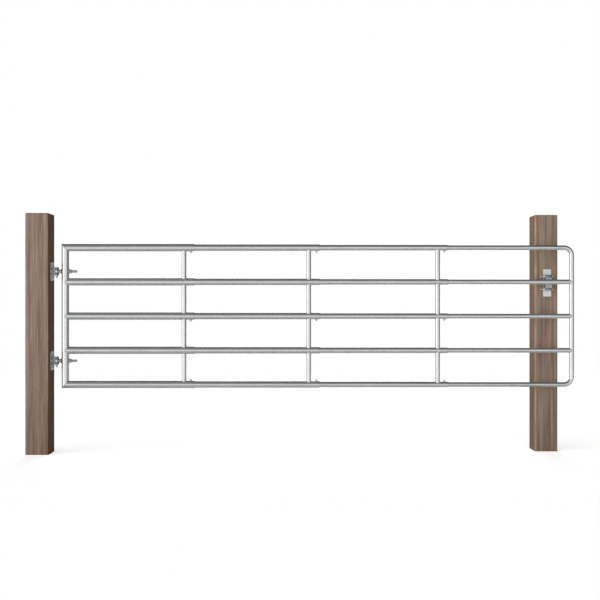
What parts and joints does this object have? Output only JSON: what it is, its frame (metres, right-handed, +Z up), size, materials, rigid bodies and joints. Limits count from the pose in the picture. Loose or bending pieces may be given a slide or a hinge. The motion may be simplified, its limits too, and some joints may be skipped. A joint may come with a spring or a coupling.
{
  "type": "field gate",
  "caption": "Telescoping tubular steel field gate between timber posts: it swings on eyebolt hinges, its sections slide together and lock with screws, and sprung jaws latch it.",
  "frame": {"origin": "centre of the hinge post's foot, at ground level", "axes": "+X from the hinge post to the latch post along the shut gate, +Y away from the side it opens to, +Z up"},
  "size_m": [3.4211, 0.2818, 1.5],
  "materials": {
    "post_timber": "sawn, weathered",
    "galvanised_tube": "hot-dip galvanised",
    "galvanised_fitting": "galvanised, dull",
    "plated_fastener": "zinc plated",
    "spring_wire": "bright drawn wire"
  },
  "bodies": {
    "posts": {"hinge_post": "post_timber", "latch_post": "post_timber", "upper_hinge_plate": "galvanised_fitting", "lower_hinge_plate": "galvanised_fitting", "upper_hinge_pin": "galvanised_fitting", "lower_hinge_pin": "galvanised_fitting", "upper_hinge_screws": "plated_fastener", "lower_hinge_screws": "plated_fastener", "latch_plate": "galvanised_fitting", "latch_screws": "plated_fastener", "upper_jaw_pin": "galvanised_fitting", "lower_jaw_pin": "galvanised_fitting", "upper_jaw_spring": "spring_wire", "lower_jaw_spring": "spring_wire"},
    "section_1": {"hinge_stile": "galvanised_tube", "upper_eyebolt": "galvanised_fitting", "lower_eyebolt": "galvanised_fitting", "upper_eyebolt_nuts": "plated_fastener", "lower_eyebolt_nuts": "plated_fastener", "upper_eyebolt_washers": "plated_fastener", "lower_eyebolt_washers": "plated_fastener", "section_1_bar_1": "galvanised_tube", "section_1_bar_2": "galvanised_tube", "section_1_bar_3": "galvanised_tube", "section_1_bar_4": "galvanised_tube", "section_1_bar_5": "galvanised_tube", "section_1_uprights": "galvanised_tube", "section_1_lock_nuts": "plated_fastener"},
    "section_2": {"section_2_bar_1": "galvanised_tube", "section_2_bar_2": "galvanised_tube", "section_2_bar_3": "galvanised_tube", "section_2_bar_4": "galvanised_tube", "section_2_bar_5": "galvanised_tube", "section_2_uprights": "galvanised_tube", "section_2_lock_nuts": "plated_fastener"},
    "section_3": {"section_3_bar_1": "galvanised_tube", "section_3_bar_2": "galvanised_tube", "section_3_bar_3": "galvanised_tube", "section_3_bar_4": "galvanised_tube", "section_3_bar_5": "galvanised_tube", "section_3_uprights": "galvanised_tube", "section_3_lock_nuts": "plated_fastener"},
    "section_4": {"end_bow": "galvanised_tube", "section_4_bar_2": "galvanised_tube", "section_4_bar_3": "galvanised_tube", "section_4_bar_4": "galvanised_tube"},
    "upper_jaw": {"upper_jaw": "galvanised_fitting"},
    "lower_jaw": {"lower_jaw": "galvanised_fitting"},
    "lock_screw_1_top": {"lock_screw_1_top": "plated_fastener"},
    "lock_screw_1_middle": {"lock_screw_1_middle": "plated_fastener"},
    "lock_screw_1_bottom": {"lock_screw_1_bottom": "plated_fastener"},
    "lock_screw_2_top": {"lock_screw_2_top": "plated_fastener"},
    "lock_screw_2_middle": {"lock_screw_2_middle": "plated_fastener"},
    "lock_screw_2_bottom": {"lock_screw_2_bottom": "plated_fastener"},
    "lock_screw_3_top": {"lock_screw_3_top": "plated_fastener"},
    "lock_screw_3_middle": {"lock_screw_3_middle": "plated_fastener"},
    "lock_screw_3_bottom": {"lock_screw_3_bottom": "plated_fastener"}
  },
  "joints": [
    {"name": "gate_swing", "type": "hinge", "parent": "posts", "child": "section_1", "pos_m": [0.1055, 0, 0], "axis": [0, 0, 1], "range_deg": [-95, 0.81]},
    {"name": "section_2_slide", "type": "slide", "parent": "section_1", "child": "section_2", "axis": [1, 0, 0], "range_m": [-0.7, 0]},
    {"name": "section_3_slide", "type": "slide", "parent": "section_2", "child": "section_3", "axis": [1, 0, 0], "range_m": [-0.7, 0]},
    {"name": "section_4_slide", "type": "slide", "parent": "section_3", "child": "section_4", "axis": [1, 0, 0], "range_m": [-0.7, 0]},
    {"name": "upper_jaw_swing", "type": "hinge", "parent": "posts", "child": "upper_jaw", "pos_m": [3.1975, 0.0261, 1.1095], "axis": [1, 0, 0], "range_deg": [0, 60], "stiffness_Nm_per_rad": 0.3, "springref_deg": -22.92, "deforming": ["upper_jaw_spring"]},
    {"name": "lower_jaw_swing", "type": "hinge", "parent": "posts", "child": "lower_jaw", "pos_m": [3.1975, 0.0261, 1.0275], "axis": [-1, 0, 0], "range_deg": [0, 60], "stiffness_Nm_per_rad": 0.3, "springref_deg": -22.92, "deforming": ["lower_jaw_spring"]},
    {"name": "lock_screw_1_top_loosen", "type": "slide", "parent": "section_1", "child": "lock_screw_1_top", "axis": [0, 0, -1], "range_m": [0, 0.006]},
    {"name": "lock_screw_1_middle_loosen", "type": "slide", "parent": "section_1", "child": "lock_screw_1_middle", "axis": [0, 0, -1], "range_m": [0, 0.006]},
    {"name": "lock_screw_1_bottom_loosen", "type": "slide", "parent": "section_1", "child": "lock_screw_1_bottom", "axis": [0, 0, 1], "range_m": [0, 0.006]},
    {"name": "lock_screw_2_top_loosen", "type": "slide", "parent": "section_2", "child": "lock_screw_2_top", "axis": [0, 0, -1], "range_m": [0, 0.006]},
    {"name": "lock_screw_2_middle_loosen", "type": "slide", "parent": "section_2", "child": "lock_screw_2_middle", "axis": [0, 0, -1], "range_m": [0, 0.006]},
    {"name": "lock_screw_2_bottom_loosen", "type": "slide", "parent": "section_2", "child": "lock_screw_2_bottom", "axis": [0, 0, 1], "range_m": [0, 0.006]},
    {"name": "lock_screw_3_top_loosen", "type": "slide", "parent": "section_3", "child": "lock_screw_3_top", "axis": [0, 0, -1], "range_m": [0, 0.006]},
    {"name": "lock_screw_3_middle_loosen", "type": "slide", "parent": "section_3", "child": "lock_screw_3_middle", "axis": [0, 0, -1], "range_m": [0, 0.006]},
    {"name": "lock_screw_3_bottom_loosen", "type": "slide", "parent": "section_3", "child": "lock_screw_3_bottom", "axis": [0, 0, 1], "range_m": [0, 0.006]}
  ]
}
